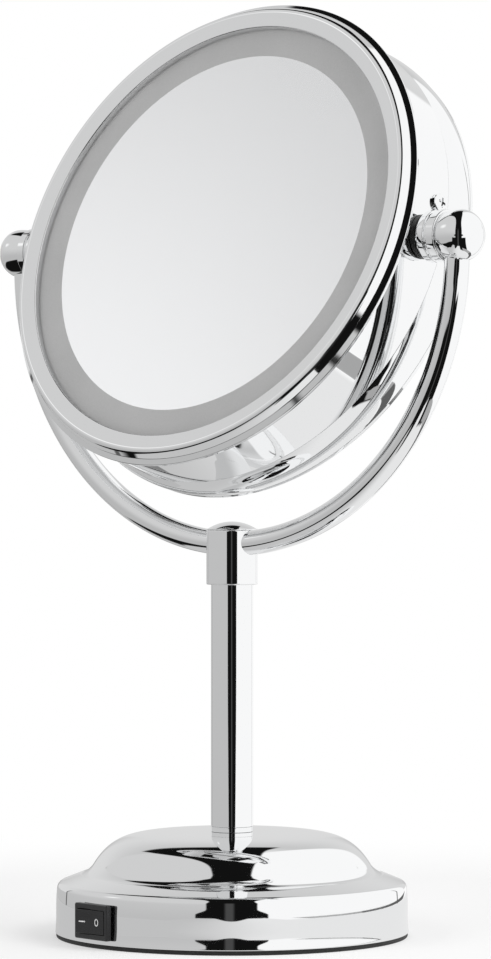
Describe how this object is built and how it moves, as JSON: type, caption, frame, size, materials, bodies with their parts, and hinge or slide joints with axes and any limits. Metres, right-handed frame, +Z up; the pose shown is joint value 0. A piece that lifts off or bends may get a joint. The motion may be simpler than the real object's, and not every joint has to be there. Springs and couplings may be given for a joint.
{
  "type": "lighted vanity mirror",
  "caption": "Round double-sided lighted vanity mirror in a tilting chrome drum, held by a U-shaped tube yoke on a post and a weighted battery base with a rocker switch.",
  "frame": {"origin": "centre of the base's underside, on the table", "axes": "+Z up along the post, +X along the head's pivot axis towards the knob on the right, -Y towards the front of the mirror"},
  "size_m": [0.1892, 0.1098, 0.2844],
  "materials": {
    "chrome": "bright polished chrome plate",
    "rubber_black": "matt moulded rubber",
    "plastic_black": "fine-textured moulded plastic",
    "switch_black": "satin moulded nylon",
    "steel": "zinc-plated steel",
    "cast_weight": "rough cast iron",
    "cell_wrap": "printed-film wrap, plain",
    "brass": "plain brass",
    "cable_black": "smooth cable sheath",
    "frame_white": "white moulded plastic",
    "mirror_glass": "silvered glass with a frosted ring",
    "diffuser": "frosted translucent acrylic",
    "board_green": "solder-masked board",
    "led": "moulded LED packages"
  },
  "bodies": {
    "stand": {"base_shell": "chrome", "foot_ring": "rubber_black", "bottom_plate": "plastic_black", "plate_screws": "steel", "base_weight": "cast_weight", "battery_tray": "plastic_black", "battery_cells": "cell_wrap", "positive_contacts": "steel", "negative_contacts": "steel", "contact_springs": "steel", "switch_housing": "switch_black", "switch_terminals": "brass", "centre_rod": "steel", "rod_washer": "steel", "rod_nut": "steel", "post_ferrule": "chrome", "post_tube": "chrome", "hub": "chrome", "hub_cap": "chrome", "yoke_tube": "chrome", "lead_wire": "cable_black", "left_knob": "chrome", "right_knob": "chrome", "pivot_collars": "chrome", "pivot_sleeves": "steel", "pivot_washers": "plastic_black", "pivot_springs": "steel", "pivot_nuts": "steel"},
    "head": {"drum_housing": "chrome", "rear_housing": "chrome", "front_bezel": "chrome", "rear_bezel": "chrome", "inner_frame": "frame_white", "pivot_brackets": "steel", "drum_screws": "chrome", "front_mirror": "mirror_glass", "rear_mirror": "mirror_glass", "front_diffuser": "diffuser", "rear_diffuser": "diffuser", "front_led_board": "board_green", "rear_led_board": "board_green", "front_leds": "led", "rear_leds": "led", "head_lead": "cable_black"},
    "rocker": {"switch_rocker": "switch_black"},
    "door": {"battery_door": "plastic_black"}
  },
  "joints": [
    {"name": "head_tilt", "type": "hinge", "parent": "stand", "child": "head", "pos_m": [0, 0, 0.2102], "axis": [1, 0, 0], "range_deg": [-180, 180]},
    {"name": "rocker_tip", "type": "hinge", "parent": "stand", "child": "rocker", "pos_m": [-0.00781, -0.05353, 0.00805], "axis": [0, 0, 1], "range_deg": [-13, 0]},
    {"name": "door_lift", "type": "slide", "parent": "stand", "child": "door", "axis": [0, 0, -1], "range_m": [0, 0.03]}
  ]
}
